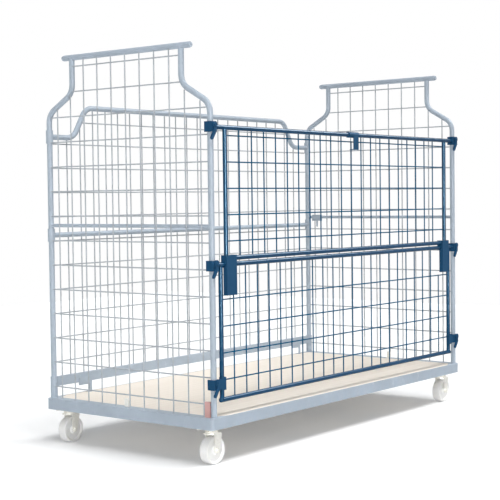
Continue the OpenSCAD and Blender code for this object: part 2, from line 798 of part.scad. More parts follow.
// Bottom rail with a socket for each rear post
module rear_bottom_rail() {
    half_t = rear_rail_wall / 2;
    high = rear_rail_low + rear_rail_height;
    color(paint_pale) translate([0, post_y, deck_z]) difference() {
        union() {
            block([-end_x + post_r, -half_t, rear_rail_low], [end_x - post_r, half_t, high]);
            both_ways() rod_z(end_x, 0, wall_gap, socket_height, sleeve_r);
        }
        block([-end_x + sleeve_r, -half_t + 2, rear_rail_low + 2],
              [end_x - sleeve_r, half_t - 2, high - 2]);
        both_ways() rod_z(end_x, 0, -1, socket_height + 1, post_r + sleeve_gap);
    }
}

// Straps that stand the bottom rail on the side rail's ledge, through notches in the deck
module rear_rail_feet() {
    foot_low = -deck_thickness + touch;
    color(paint_pale) translate([0, post_y, deck_z]) for (x = foot_x) translate([x, 0, 0]) {
        block([0, foot_front, rear_rail_low - 12],
              [foot_length, foot_front + foot_sheet, rear_rail_low + 20]);
        block([foot_length - foot_leg, foot_front, foot_low],
              [foot_length, foot_front + foot_sheet, rear_rail_low]);
        block([foot_length - foot_leg, foot_front, foot_low],
              [foot_span, foot_back, foot_low + foot_sheet]);
    }
}

// Height above the deck at which an upright wire of the rear wall meets the top tube
function rear_upright_top(x) =
    rear_top - bent_side(x + wire_r - rise_high_x, rise_span, rise_step, rise_radius, rise_angle,
                         rear_weld_room + bend_swell);

module rear_wall_mesh() {
    top_half = rise_high_x + bent_length(rear_top - rear_wire_top - wire_r, rise_span, rise_step,
                                         rise_radius, rise_angle, post_r + bend_swell);
    color(wire_grey) translate([0, post_y, deck_z]) {
        for (i = [0 : rear_upright_count - 1]) {
            x = (i - (rear_upright_count - 1) / 2) * rear_upright_step;
            rod_z(x, rear_out, rear_rail_low + 8, rear_upright_top(abs(x)) - wall_gap, wire_r);
        }
        rod_x(-top_half + wall_gap, top_half - wall_gap, rear_in, rear_wire_top, wire_r);
        for (i = [0 : rear_wire_rows - 1]) {
            z = rear_wire_low + i * rear_wire_step;
            half = end_x - (in_sleeve(z) ? sleeve_r : post_r) - 3 * wall_gap;
            rod_x(-half, half, rear_in, z, wire_r);
        }
    }
}

// ---- front panels --------------------------------------------------------------

// Rectangular frame of round tube in the X-Z plane; heights are above the deck
module panel_frame(bar_half_top, bar_half_low, stile_x, low, high) {
    difference() {
        union() {
            rod_x(-bar_half_top, bar_half_top, 0, high, bar_r);
            rod_x(-bar_half_low, bar_half_low, 0, low, bar_r);
            both_ways() rod_z(stile_x, 0, low, high, stile_r);
        }
        rod_x(-bar_half_top - 1, bar_half_top + 1, 0, high, bar_r - tube_wall);
        rod_x(-bar_half_low - 1, bar_half_low + 1, 0, low, bar_r - tube_wall);
        both_ways() rod_z(stile_x, 0, low, high, stile_r - tube_wall);
    }
}

module lower_panel_frame() {
    color(paint_blue) translate([0, front_y, deck_z])
        panel_frame(end_x - clamp_out, lower_stile_x + stile_r, lower_stile_x, lower_bottom, lower_top);
}

module upper_panel_frame() {
    color(paint_blue) translate([0, front_y, deck_z])
        panel_frame(end_x - clamp_out, channel_inner_x + channel_width - channel_wall - touch,
                    upper_stile_x, upper_low, upper_top);
}

// Domed plugs in the open ends of the bottom bar
module lower_bar_plugs() {
    base_r = bar_r - 0.2;
    dome_r = (base_r * base_r + plug_rise * plug_rise) / (2 * plug_rise);
    color(paint_blue) translate([0, front_y, deck_z + lower_bottom]) both_ways()
        translate([lower_stile_x + stile_r + touch, 0, 0]) rotate([0, 90, 0]) {
            translate([0, 0, -6]) cylinder(r = bar_r - tube_wall - 0.2, h = 7);
            intersection() {
                cylinder(r = base_r, h = plug_rise + 1);
                translate([0, 0, plug_rise - dome_r]) sphere(dome_r);
            }
        }
}

// The last upright stops at the highest level wire, where the hinge channel swings through
module lower_panel_mesh() {
    color(paint_blue) translate([0, front_y, deck_z]) {
        for (i = [0 : lower_count - 1]) {
            x = (i - (lower_count - 1) / 2) * lower_step + lower_shift;
            swept = abs(x) > channel_inner_x - wire_r - 2;
            rod_z(x, upright_in, lower_bottom, swept ? lower_wire_top + wire_r : lower_top, wire_r);
        }
        for (i = [0 : lower_wire_rows - 1])
            rod_x(-lower_stile_x + stile_weld, lower_stile_x - stile_weld, level_in,
                  lower_wire_top - i * lower_wire_step, wire_r);
    }
}

// The upright beside the hook's sleeve stops at the highest level wire
module upper_panel_mesh() {
    color(paint_blue) translate([0, front_y, deck_z]) {
        for (i = [0 : upper_count - 1]) {
            x = (i - (upper_count - 1) / 2) * upper_step + upper_shift;
            by_hook = abs(x - hook_place) < hook_sleeve / 2 + wire_r + 1;
            rod_z(x, upright_in, upper_low,
                  by_hook ? upper_top - upper_wire_drop + wire_r : upper_top, wire_r);
        }
        for (i = [0 : upper_wire_rows - 1])
            rod_x(-upper_stile_x + stile_weld, upper_stile_x - stile_weld, level_in,
                  upper_top - upper_wire_drop - i * upper_wire_step, wire_r);
    }
}

// Channel fixed to the upper panel that turns on the lower panel's top bar
module hinge_channel() {
    high = channel_rise;
    low = channel_rise - channel_height;
    w = channel_width;
    color(paint_blue) translate([channel_inner_x, front_y, hinge_z]) difference() {
        union() {
            block([0, -channel_front, low], [w, channel_tail_back, high]);
            block([0, -channel_front, -channel_lug_low], [w, channel_lug_back, high]);
        }
        block([channel_wall, -channel_front + channel_wall, low - 1],
              [w - channel_wall, channel_lug_back + 1, high + 1]);
        rod_x(-1, w + 1, 0, 0, bar_r + run_fit);
        rod_x(-1, w - channel_wall, 0, bar_pitch, bar_r + run_fit);
    }
}

module hinge_channel_left() {
    mirror([1, 0, 0]) hinge_channel();
}

// U-shaped sheet round a post, with a hole for the lever's screw. The lever's middle is
// rise above the clamp's
module clamp_shell(rise) {
    h = clamp_height / 2;
    difference() {
        block([-clamp_out, -clamp_out, -h], [clamp_out, clamp_back, h]);
        block([-clamp_in, -clamp_in, -h - 1], [clamp_in, clamp_back + 1, h + 1]);
        rod_y(lever_pivot_x, -clamp_out - 1, 0, lever_pivot_z + rise, lever_screw_d / 2 + run_fit);
    }
}

module clamp(side, z, rise) {
    color(paint_blue) translate([side * end_x, front_y, deck_z + z]) clamp_shell(rise);
}

// Lower clamp: the same shell, joined by a web to a clip that holds the stile
module low_clamp(side) {
    h = clip_height / 2;
    color(paint_blue) translate([side * end_x, front_y, deck_z + low_clamp_place]) {
        clamp_shell(lever_rise);
        mirror([side > 0 ? 1 : 0, 0, 0]) {
            block([clamp_in + 1, -clip_out, -clamp_height / 2],
                  [lower_stile_inset - clip_in, -clip_in, clamp_height / 2]);
            translate([lower_stile_inset, 0, 0]) difference() {
                block([-clip_out, -clip_out, -h], [clip_out, clip_tail, h]);
                block([-clip_in, -clip_in, -h - 1], [clip_in, clip_tail + 1, h + 1]);
            }
        }
    }
}

// Clamping lever with its screw. It hangs in front of the clamp
module lever(side, z) {
    back = -clamp_out - lever_gap;
    pivot = [lever_pivot_x, lever_pivot_z];
    color(paint_blue) translate([side * end_x, front_y, deck_z + z]) {
        translate([0, back, 0]) rotate([90, 0, 0]) linear_extrude(lever_wall) {
            translate(pivot) circle(lever_boss);
            translate(lever_knee) circle(lever_arm_r + 1);
            translate(lever_tip) circle(lever_arm_r);
            flat_bar(pivot, lever_knee, lever_arm_r + 1);
            flat_bar(lever_knee, lever_tip, lever_arm_r);
        }
        rod_y(lever_pivot_x, back - lever_wall - 2, -post_r - 0.3, lever_pivot_z, lever_screw_d / 2);
        rod_y(lever_pivot_x, back - lever_wall - 3, back - lever_wall + 1, lever_pivot_z,
              lever_screw_d / 2 + 2);
    }
}

// Sleeve that turns on the upper top bar, with a strap and a foot that reaches inwards
module panel_hook() {
    r0 = bar_r + run_fit;
    r1 = r0 + hook_wall;
    x0 = hook_shift - hook_width / 2;
    foot_width = 23;
    color(paint_blue) translate([hook_place, front_y, deck_z + upper_top]) {
        difference() {
            union() {
                rod_x(-hook_sleeve / 2, hook_sleeve / 2, 0, 0, r1);
                block([x0, -r1, -hook_drop], [x0 + hook_width, -r1 + hook_wall, 0]);
            }
            rod_x(-hook_sleeve, hook_sleeve, 0, 0, r0);
        }
        block([x0, -r1, -hook_drop], [x0 + foot_width, upright_in - wire_r - 0.3,
                                      -hook_drop + hook_wall]);
    }
}

// ---- parts ---------------------------------------------------------------------

deck();
end_rail(-1);  // end_rail_left
end_rail(1);  // end_rail_right
side_rail(-1);  // side_rail_front
side_rail(1);  // side_rail_rear
cross_member(-1);  // cross_member_left
cross_member(1);  // cross_member_right
corner_gussets();
caster_mounts();
caster_bolts();
post_pegs();
rail_tabs();
end_wall_frame(-1);  // end_wall_frame_left
end_wall_mesh(-1);  // end_wall_mesh_left
end_wall_frame(1);  // end_wall_frame_right
end_wall_mesh(1);  // end_wall_mesh_right
top_bar_caps();
wall_pin();
wall_latch();
rear_wall_frame();
rear_wall_mesh();
rear_bottom_rail();
rear_rail_feet();
lower_bar_plugs();
lower_panel_frame();
lower_panel_mesh();
upper_panel_frame();
upper_panel_mesh();
hinge_channel_left();
hinge_channel();  // hinge_channel_right
panel_hook();

for (c = [["fl", -1, -1], ["fr", 1, -1], ["rl", -1, 1], ["rr", 1, 1]]) {
    caster_plate(c[1], c[2]);
    caster_fork(c[1], c[2]);
    caster_axle(c[1], c[2]);
    caster_wheel(c[1], c[2]);
}

for (s = [["left", -1], ["right", 1]]) {
    clamp(s[1], upper_top, 0);
    clamp(s[1], lower_top - mid_clamp_drop, mid_clamp_drop);
    low_clamp(s[1]);
    lever(s[1], upper_top);
    lever(s[1], lower_top);
    lever(s[1], low_clamp_place + lever_rise);
}
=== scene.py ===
import json
import math

import bpy
from mathutils import Matrix, Vector


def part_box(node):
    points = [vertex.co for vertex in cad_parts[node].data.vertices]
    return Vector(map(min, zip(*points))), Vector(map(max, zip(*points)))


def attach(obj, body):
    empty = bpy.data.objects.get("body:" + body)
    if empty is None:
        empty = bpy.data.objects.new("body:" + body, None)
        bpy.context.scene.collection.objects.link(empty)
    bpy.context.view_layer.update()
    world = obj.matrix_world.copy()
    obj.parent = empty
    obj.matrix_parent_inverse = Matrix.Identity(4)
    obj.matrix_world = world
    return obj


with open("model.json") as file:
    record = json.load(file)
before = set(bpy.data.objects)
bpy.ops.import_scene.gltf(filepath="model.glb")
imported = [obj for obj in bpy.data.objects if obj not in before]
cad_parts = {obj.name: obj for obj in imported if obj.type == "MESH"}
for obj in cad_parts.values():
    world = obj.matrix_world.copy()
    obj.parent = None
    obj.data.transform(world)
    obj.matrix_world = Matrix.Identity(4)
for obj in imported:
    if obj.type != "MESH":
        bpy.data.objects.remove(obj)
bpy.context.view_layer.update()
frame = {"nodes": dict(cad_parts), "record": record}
nodes = frame["nodes"]
scene = bpy.context.scene


# ---- camera ----------------------------------------------------------------------

CAMERA_PLACE = (-4.3313, -3.2850, 0.9726)
CAMERA_YAW = math.radians(38.03)      # view direction, turned from +X towards +Y
CAMERA_DIP = math.radians(2.36)       # how far it looks down
CAMERA_ROLL = math.radians(-0.70)     # turn round the view direction
CAMERA_LENS = 89.57                   # mm, for a sensor 36 mm wide
SENSOR_WIDTH = 36.0
CAMERA_REACH = 100.0                  # metres


def make_camera():
    look = Vector((math.cos(CAMERA_YAW) * math.cos(CAMERA_DIP),
                   math.sin(CAMERA_YAW) * math.cos(CAMERA_DIP), -math.sin(CAMERA_DIP)))
    right = look.cross(Vector((0, 0, 1))).normalized()
    up = right.cross(look)
    right, up = (math.cos(CAMERA_ROLL) * right + math.sin(CAMERA_ROLL) * up,
                 math.cos(CAMERA_ROLL) * up - math.sin(CAMERA_ROLL) * right)
    data = bpy.data.cameras.new("camera")
    data.lens = CAMERA_LENS
    data.sensor_width = SENSOR_WIDTH
    data.clip_end = CAMERA_REACH
    camera = bpy.data.objects.new("camera", data)
    scene.collection.objects.link(camera)
    turn = Matrix((right, up, -look)).transposed().to_4x4()
    camera.matrix_world = Matrix.Translation(CAMERA_PLACE) @ turn
    scene.camera = camera


make_camera()
scene.view_settings.view_transform = "Standard"


# ---- material tools ----------------------------------------------------------------

class Nodes:
    """A material's node tree with short calls for its nodes. A value for an input is either
    a number, a colour or another node's output."""

    def __init__(self, name):
        self.material = bpy.data.materials.new(name)
        self.material.use_nodes = True
        self.tree = self.material.node_tree
        self.shader = self.tree.nodes["Principled BSDF"]

    def add(self, kind, inputs=None, **settings):
        node = self.tree.nodes.new(kind)
        for key, value in settings.items():
            setattr(node, key, value)
        for key, value in (inputs or {}).items():
            self.feed(node.inputs[key], value)
        return node

    def feed(self, socket, value):
        if isinstance(value, bpy.types.NodeSocket):
            self.tree.links.new(value, socket)
        else:
            socket.default_value = value

    def place(self, scale=(1, 1, 1)):
        """The point on the object, in metres, stretched by scale."""
        coords = self.add("ShaderNodeTexCoord")
        mapping = self.add("ShaderNodeMapping", {"Vector": coords.outputs["Object"],
                                                 "Scale": scale})
        return mapping.outputs["Vector"]

    def noise(self, scale, detail=3.0, rough=0.55, stretch=(1, 1, 1)):
        node = self.add("ShaderNodeTexNoise", {"Vector": self.place(stretch), "Scale": scale,
                                               "Detail": detail, "Roughness": rough})
        return node.outputs["Fac"]

    def ramp(self, value, *stops):
        """Colour that runs from stop to stop. Each stop is a position and a colour."""
        node = self.add("ShaderNodeValToRGB", {"Fac": value})
        ramp = node.color_ramp
        while len(ramp.elements) < len(stops):
            ramp.elements.new(0.5)
        for element, (at, color) in zip(ramp.elements, stops):
            element.position = at
            element.color = (*color, 1)
        return node.outputs["Color"]

    def span(self, value, low, high, to_low=0.0, to_high=1.0):
        """Stretch low..high to to_low..to_high and hold what lies beyond."""
        node = self.add("ShaderNodeMapRange", {"Value": value, "From Min": low, "From Max": high,
                                               "To Min": to_low, "To Max": to_high})
        return node.outputs["Result"]

    def math(self, operation, a, b=0.0):
        node = self.add("ShaderNodeMath", operation=operation)
        self.feed(node.inputs[0], a)
        self.feed(node.inputs[1], b)
        return node.outputs[0]

    def mix(self, fac, a, b):
        """Colour a, covered by colour b as far as fac says."""
        node = self.add("ShaderNodeMix", data_type="RGBA")
        self.feed(node.inputs["Factor"], fac)
        for socket, value in ((node.inputs["A"], a), (node.inputs["B"], b)):
            self.feed(socket, value if isinstance(value, bpy.types.NodeSocket) else (*value, 1))
        return node.outputs["Result"]

    def bump(self, height, strength, distance):
        node = self.add("ShaderNodeBump", {"Height": height, "Strength": strength,
                                           "Distance": distance})
        return node.outputs["Normal"]

    def finish(self, **sockets):
        """Feed the shader's inputs, named with _ for each space, and give the material."""
        for key, value in sockets.items():
            self.feed(self.shader.inputs[key.replace("_", " ")], value)
        return self.material


def shade(color, amount):
    return tuple(min(1.0, max(0.0, c * amount)) for c in color)


def paint(name, color, worn, roughness=0.38, gloss=0.05, tint=(1, 1, 1), speck=0.5):
    """Sprayed paint: slight clouding, orange peel and dust, with rubbed patches of the
    colour worn that show as strongly as speck says. gloss and tint are the strength and
    colour of its reflections."""
    n = Nodes(name)
    cloud = n.noise(6.0, detail=4)
    dust = n.noise(55.0, detail=5, rough=0.65)
    rubbed = n.span(n.noise(23.0, detail=6, rough=0.7, stretch=(1, 1, 0.35)), 0.62, 0.74)
    fine = n.noise(420.0, detail=2)
    base = n.ramp(cloud, (0.35, shade(color, 0.93)), (0.65, shade(color, 1.05)))
    base = n.mix(n.span(dust, 0.35, 0.7, to_high=0.22), base, shade(color, 0.82))
    base = n.mix(n.math("MULTIPLY", rubbed, speck), base, worn)
    return n.finish(Base_Color=base,
                    Roughness=n.span(dust, 0.3, 0.7, roughness - 0.06, roughness + 0.10),
                    Normal=n.bump(fine, strength=0.12, distance=0.0004),
                    Specular_IOR_Level=gloss, Specular_Tint=(*tint, 1))


def metal(name, color, dark, roughness, metallic):
    """Zinc plate: spangle, faint streaks and dull spots of the colour dark."""
    n = Nodes(name)
    cells = n.add("ShaderNodeTexVoronoi", {"Vector": n.place(), "Scale": 160.0}).outputs["Color"]
    spangle = n.add("ShaderNodeSeparateColor", {"Color": cells}).outputs[0]
    dull = n.span(n.noise(38.0, detail=5, rough=0.6), 0.45, 0.75)
    streak = n.noise(70.0)
    base = n.ramp(spangle, (0.0, shade(color, 0.94)), (1.0, shade(color, 1.04)))
    base = n.mix(n.math("MULTIPLY", dull, 0.5), base, dark)
    return n.finish(Base_Color=base,
                    Roughness=n.span(streak, 0.3, 0.7, roughness - 0.06, roughness + 0.14),
                    Normal=n.bump(n.noise(300.0), strength=0.08, distance=0.0004),
                    Metallic=metallic, Specular_IOR_Level=0.15)


def nylon(name, color):
    """Moulded plastic with scuffs."""
    n = Nodes(name)
    scuff = n.span(n.noise(48.0, detail=6, rough=0.7), 0.5, 0.8)
    base = n.ramp(n.noise(14.0), (0.3, shade(color, 0.97)), (0.7, color))
    base = n.mix(n.math("MULTIPLY", scuff, 0.3), base, shade(color, 0.8))
    return n.finish(Base_Color=base, Roughness=n.span(scuff, 0, 1, 0.36, 0.6),
                    Normal=n.bump(n.noise(250.0), strength=0.1, distance=0.0004),
                    Subsurface_Weight=0.12, Subsurface_Radius=(0.004, 0.004, 0.003),
                    Specular_IOR_Level=0.15)


PLY_TURN = 4200.0      # radians for each metre of height: a pair of plies every 1.5 mm


def plywood(name, color, dark):
    """Deck board: long grain on the faces, plies on the edges."""
    n = Nodes(name)
    warp = n.noise(1.1, rough=0.5, stretch=(0.25, 1, 1))
    place = n.place(scale=(0.6, 9.0, 9.0))
    drift = n.add("ShaderNodeCombineXYZ", {"Y": n.math("MULTIPLY", warp, 3.2)}).outputs[0]
    shifted = n.add("ShaderNodeVectorMath", operation="ADD")
    n.feed(shifted.inputs[0], place)
    n.feed(shifted.inputs[1], drift)
    bands = n.add("ShaderNodeTexWave", {"Vector": shifted.outputs[0], "Scale": 1.1,
                                        "Distortion": 4.0, "Detail": 3.0, "Detail Scale": 1.5},
                  bands_direction="Y").outputs["Fac"]
    fibre = n.noise(30.0, detail=6, rough=0.7, stretch=(0.06, 3.0, 3.0))
    stain = n.noise(4.0, detail=5, rough=0.6)
    face = n.ramp(bands, (0.15, shade(color, 0.965)), (0.8, color))
    face = n.mix(n.span(fibre, 0.35, 0.75, to_high=0.3), face, dark)
    face = n.mix(n.span(stain, 0.55, 0.8, to_high=0.25), face, shade(color, 0.9))
    normal = n.add("ShaderNodeNewGeometry").outputs["Normal"]
    up = n.math("ABSOLUTE", n.add("ShaderNodeSeparateXYZ", {"Vector": normal}).outputs["Z"])
    height = n.add("ShaderNodeSeparateXYZ", {"Vector": n.place()}).outputs["Z"]
    plies = n.span(n.math("SINE", n.math("MULTIPLY", height, PLY_TURN)), -0.2, 0.3)
    edge = n.mix(plies, shade(dark, 0.8), color)
    base = n.mix(n.math("GREATER_THAN", up, 0.5), edge, face)
    return n.finish(Base_Color=base, Roughness=n.span(fibre, 0.3, 0.7, 0.5, 0.68),
                    Normal=n.bump(fibre, strength=0.15, distance=0.0006),
                    Specular_IOR_Level=0.2)


MATERIALS = {
    "pale_paint": paint("pale_paint", (0.405, 0.470, 0.545), (0.66, 0.71, 0.75)),
    "wire_coat": paint("wire_coat", (0.42, 0.455, 0.49), (0.52, 0.55, 0.58),
                       gloss=0.02, speck=0.3),
    "blue_paint": paint("blue_paint", (0.005, 0.050, 0.122), (0.03, 0.10, 0.19),
                        roughness=0.17, gloss=0.12, tint=(0.50, 0.80, 1.00), speck=0.2),
    # painted light: the flat pieces' paint is lighter than the tubes' blue, so that they show
    # brighter as if more light fell on them, above all on the clamps' left faces
    "blue_flat_painted_light": paint("blue_flat_painted_light", (0.013, 0.064, 0.142), (0.03, 0.11, 0.20),
                       roughness=0.55, tint=(0.60, 0.85, 1.00), speck=0.2),
    # painted light: the wires' paint is lighter and bluer than the tubes' blue, to make up for
    # the shade on their thin round sides
    "blue_wire_painted_light": paint("blue_wire_painted_light", (0.002, 0.086, 0.180), (0.02, 0.12, 0.22),
                       roughness=0.50, gloss=0.01, tint=(0.30, 0.70, 1.00), speck=0.2),
    "zinc": metal("zinc", (0.84, 0.83, 0.78), (0.70, 0.69, 0.64), roughness=0.34,
                  metallic=0.15),
    "white_nylon": nylon("white_nylon", (0.89, 0.89, 0.88)),
    "plywood": plywood("plywood", (0.90, 0.83, 0.74), (0.78, 0.68, 0.56)),
    "red_plastic": nylon("red_plastic", (0.62, 0.37, 0.35)),
}


def look_of(name, slot):
    """The slot's own look, apart from blue pieces: only the tubes shine, so the wires and the
    flat pieces have duller kinds of the same paint. These are also painted lighter than the
    tubes' blue, as painted light: the flat pieces as if more light fell on them, the wires to
    make up for the shade on their thin sides."""
    if slot != "blue_paint" or name.endswith("_frame"):
        return slot
    return "blue_wire_painted_light" if name.endswith("_mesh") else "blue_flat_painted_light"


slot_of = {s["node"]: s["material_slot"] for s in frame["record"]["subparts"]}
for name, node in nodes.items():
    node.data.materials.clear()
    node.data.materials.append(MATERIALS[look_of(name, slot_of[name])])


# ---- welds ---------------------------------------------------------------------

MM = 0.001
DECK = frame["record"]["mounts"][0]["pos_m"][2]      # top of the deck

# Places: X and Y from the middle of the cage, Z from the top of the deck
END_X = 889 * MM             # end wall planes
POST_Y = 418.5 * MM          # front and rear post rows
NECK_Y = 284 * MM            # necks of the end walls
END_TOP_Z = 1353 * MM        # top bars of the end walls
END_MID_Z = 694 * MM         # middle tubes of the end walls
REAR_LOW_Z = 1048 * MM       # low ends of the rear wall's top tube
REAR_MID_Z = 655 * MM        # middle tube of the rear wall
SOCKET_LOW_Z = 47 * MM       # seam between the rear wall's bottom rail and its sockets
SOCKET_HIGH_Z = 82 * MM
CLAMP_X = 873.6 * MM         # seam between a panel's top bar and its clamps
CHANNEL_X = 764.2 * MM       # seam between the upper panel's bottom bar and the channels
LOWER_TOP_Z = 553.5 * MM     # bars and stiles of the lower panel
LOWER_BOTTOM_Z = 59.5 * MM
LOWER_STILE_X = 842 * MM
UPPER_TOP_Z = 1052 * MM      # bars and stiles of the upper panel
UPPER_BOTTOM_Z = 575.5 * MM
UPPER_STILE_X = 808 * MM

# Radii of tubes
POST_R = 11 * MM             # posts, necks and the rear wall's top tube
END_TOP_R = 11.5 * MM
END_MID_R = 7 * MM
REAR_MID_R = 10 * MM
SLEEVE_R = 14.15 * MM        # sleeves and sockets on the rear posts
BAR_R = 9 * MM
STILE_R = 8.5 * MM
RAIL_HALF = 10 * MM          # half the thickness of the rear wall's bottom rail

# Weld beads
BEAD_SIDES = 7
RIPPLE, RIPPLE_TURN = 0.22, 1.9      # laid scales: height and radians for each step
WAVER, WAVER_TURN = 0.08, 5.3        # unsteadiness of the hand
END_THIN = 0.4                       # the ends of an open bead thin out to this
SADDLE_STEPS = 36
RING_STEPS = 30
NECK_BEAD = 1.5 * MM                 # radii of the beads
MID_BEAD = 1.3 * MM
SLEEVE_BEAD = 1.6 * MM
SOCKET_BEAD = 1.5 * MM
CORNER_BEAD = 1.35 * MM
FLANGE_BEAD = 1.3 * MM
STILE_BEAD = 1.4 * MM
BAR_BEAD = 1.3 * MM
BAR_BEAD_OUT = 0.3 * MM              # how far a bead round a bar lies outside its surface
CORNER_IN_FRONT = 1.0 * MM           # how far a base corner's seam lies inside the base
CORNER_IN_REAR = 1.85 * MM           # flush: nothing stands out behind the base there
CORNER_MARGIN = 2 * MM               # where it ends, from the rail's top and bottom
FLANGE_DOWN = 1.1 * MM               # depth of a seam's middle in the rail's top
FLANGE_FROM, FLANGE_TO = 1 * MM, 24 * MM     # how far that seam runs inwards

# Spot welds
SPOT_SIDES = 6
SPOT_R = 2.6 * MM
SPOT_HALF = 0.9 * MM         # half the height of a spot weld
SPOT_FLAT = 0.72             # how much narrower its faces are than its middle
SPOT_TWIST = 0.5             # radians from its middle to a face
SPOT_VARY = 0.25             # how much the sizes vary
LONG = 100 * MM              # shorter pieces of wire get no spot welds
SEED_STEP, SEED_RANGE = 16807, 2147483647      # for the sizes that vary


def add_piece(name, verts, faces, body, slot):
    """New mesh piece, smooth, with the record slot's material."""
    mesh = bpy.data.meshes.new(name)
    mesh.from_pydata(verts, [], faces)
    mesh.update()
    for polygon in mesh.polygons:
        polygon.use_smooth = True
    mesh.materials.append(MATERIALS[slot])
    piece = bpy.data.objects.new(name, mesh)
    scene.collection.objects.link(piece)
    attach(piece, body)


def bead(verts, faces, path, radius, closed=True):
    """Weld bead along a path: a thin tube that swells and thins like laid scales."""
    count = len(path)
    start = len(verts)
    for i, point in enumerate(path):
        before = path[(i - 1) % count] if closed or i else path[i]
        after = path[(i + 1) % count] if closed or i < count - 1 else path[i]
        along = (after - before).normalized()
        side = along.orthogonal().normalized()
        other = along.cross(side)
        wave = (1.0 + RIPPLE * math.sin(i * RIPPLE_TURN)
                + WAVER * math.sin(i * WAVER_TURN + start))
        if not closed and i in (0, count - 1):
            wave *= END_THIN
        for k in range(BEAD_SIDES):
            turn = 2 * math.pi * k / BEAD_SIDES
            verts.append(point + radius * wave * (math.cos(turn) * side + math.sin(turn) * other))
    for i in range(count if closed else count - 1):
        here = start + i * BEAD_SIDES
        there = start + ((i + 1) % count) * BEAD_SIDES
        shift = 0
        if closed and i == count - 1:
            # the last ring may be turned against the first one
            first = verts[here]
            shift = min(range(BEAD_SIDES), key=lambda k: (verts[there + k] - first).length)
        for k in range(BEAD_SIDES):
            faces.append((here + k, here + (k + 1) % BEAD_SIDES,
                          there + (k + 1 + shift) % BEAD_SIDES,
                          there + (k + shift) % BEAD_SIDES))


def saddle(center, along, across, small, big):
    """Seam where a tube with radius small runs against a tube with radius big. center lies on
    the big tube's axis, along points from there down the small tube, and across is the
    direction at right angles to both tubes."""
    along, across = Vector(along), Vector(across)
    rest = along.cross(across)
    path = []
    for i in range(SADDLE_STEPS):
        t = 2 * math.pi * i / SADDLE_STEPS
        aside = small * math.cos(t)
        reach = math.sqrt(max(big * big - aside * aside, 0.0))
        path.append(Vector(center) + aside * across + small * math.sin(t) * rest + reach * along)
    return path


def ring(center, axis, radius):
    """Circle round an axis."""
    axis = Vector(axis)
    side = axis.orthogonal().normalized()
    other = axis.cross(side)
    turns = [2 * math.pi * i / RING_STEPS for i in range(RING_STEPS)]
    return [Vector(center) + radius * (math.cos(t) * side + math.sin(t) * other) for t in turns]


def line(a, b, steps):
    """Points evenly spaced from a to b."""
    a, b = Vector(a), Vector(b)
    return [a.lerp(b, i / (steps - 1)) for i in range(steps)]


def make_cage_welds():
    """Necks under the top bars, middle tubes, the rear wall's tubes and rail on its sleeves
    and sockets, and the corners of the base."""
    verts, faces = [], []
    for x in (-END_X, END_X):
        for s in (-1, 1):
            bead(verts, faces, saddle((x, s * NECK_Y, DECK + END_TOP_Z), (0, 0, -1), (1, 0, 0),
                                      POST_R, END_TOP_R), NECK_BEAD)
            bead(verts, faces, saddle((x, s * POST_Y, DECK + END_MID_Z), (0, -s, 0), (1, 0, 0),
                                      END_MID_R, POST_R), MID_BEAD)
        inward = -1 if x > 0 else 1
        for z, radius in ((REAR_LOW_Z, POST_R), (REAR_MID_Z, REAR_MID_R)):
            bead(verts, faces, saddle((x, POST_Y, DECK + z), (inward, 0, 0), (0, 1, 0),
                                      radius, SLEEVE_R), SLEEVE_BEAD)
        for s in (-1, 1):
            y = POST_Y + s * RAIL_HALF
            meet = x + inward * math.sqrt(SLEEVE_R ** 2 - RAIL_HALF ** 2)
            bead(verts, faces, line((meet, y, DECK + SOCKET_LOW_Z),
                                    (meet, y, DECK + SOCKET_HIGH_Z), steps=22),
                 SOCKET_BEAD, closed=False)
    low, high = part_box("end_rail_left")
    seam_x = high[0]
    for x in (seam_x, -seam_x):
        for s in (-1, 1):
            y = s * (abs(low[1]) - (CORNER_IN_FRONT if s < 0 else CORNER_IN_REAR))
            bead(verts, faces, line((x, y, low[2] + CORNER_MARGIN),
                                    (x, y, high[2] - CORNER_MARGIN), steps=26),
                 CORNER_BEAD, closed=False)
            bead(verts, faces, line((x, y - s * FLANGE_FROM, high[2] - FLANGE_DOWN),
                                    (x, y - s * FLANGE_TO, high[2] - FLANGE_DOWN), steps=16),
                 FLANGE_BEAD, closed=False)
    add_piece("cage_welds", verts, faces, "cage", "pale_paint")


def make_panel_welds(name, body, stile_x, low, high, ends):
    """A panel's stiles between its bars, and its bars where they end in sheet metal."""
    verts, faces = [], []
    for s in (-1, 1):
        for z, way in ((high, -1), (low, 1)):
            bead(verts, faces, saddle((s * stile_x, -POST_Y, DECK + z), (0, 0, way), (0, 1, 0),
                                      STILE_R, BAR_R), STILE_BEAD)
        for x, z in ends:
            bead(verts, faces, ring((s * x, -POST_Y, DECK + z), (1, 0, 0), BAR_R + BAR_BEAD_OUT),
                 BAR_BEAD)
    add_piece(name, verts, faces, body, "blue_paint")


def loose_parts(mesh):
    """Boxes of a mesh's separate shells."""
    owner = list(range(len(mesh.vertices)))

    def find(i):
        while owner[i] != i:
            owner[i] = owner[owner[i]]
            i = owner[i]
        return i

    for edge in mesh.edges:
        a, b = find(edge.vertices[0]), find(edge.vertices[1])
        if a != b:
            owner[b] = a
    boxes = {}
    for i, vertex in enumerate(mesh.vertices):
        co = vertex.co
        box = boxes.setdefault(find(i), [list(co), list(co)])
        for k in range(3):
            box[0][k] = min(box[0][k], co[k])
            box[1][k] = max(box[1][k], co[k])
    return list(boxes.values())


